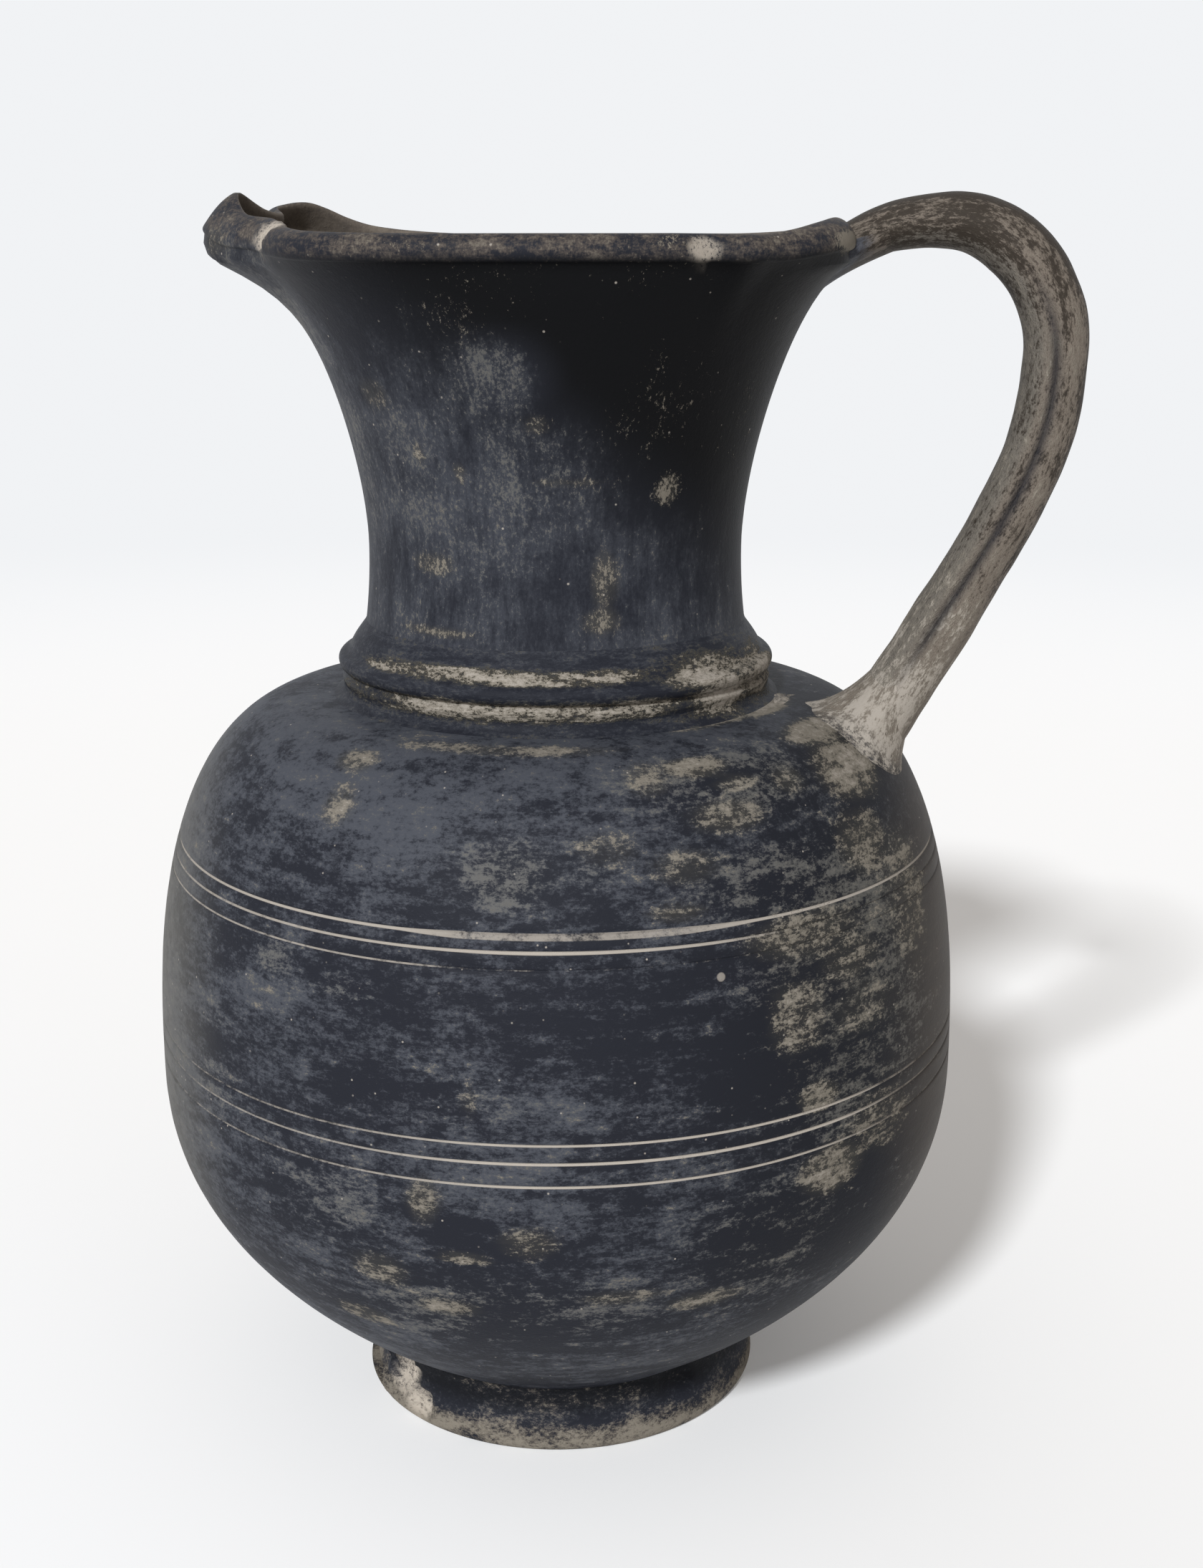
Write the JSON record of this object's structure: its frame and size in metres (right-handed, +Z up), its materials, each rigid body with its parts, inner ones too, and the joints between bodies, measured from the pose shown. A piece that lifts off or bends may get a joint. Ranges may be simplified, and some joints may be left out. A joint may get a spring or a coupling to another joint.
{
  "type": "trefoil oinochoe",
  "caption": "Round-bodied wine jug of black burnished clay with a pinched trefoil mouth, collar ring and high looped handle.",
  "frame": {"origin": "middle of the bounding box, on the plane that the foot ring stands on", "axes": "+Z up, spout towards -X, handle towards +X, turned 14 degrees off the spout's line towards -Y"},
  "size_m": [0.2054, 0.1866, 0.2785],
  "materials": {
    "clay": "burnished black clay",
    "clay_ring": "black clay with buff deposit",
    "clay_handle": "worn grey-brown clay"
  },
  "bodies": {
    "root": {"foot_ring": "clay", "body": "clay", "collar_ring": "clay_ring", "neck": "clay", "handle": "clay_handle", "handle_root_pad": "clay_ring", "handle_lip_pad": "clay_handle"}
  },
  "joints": []
}
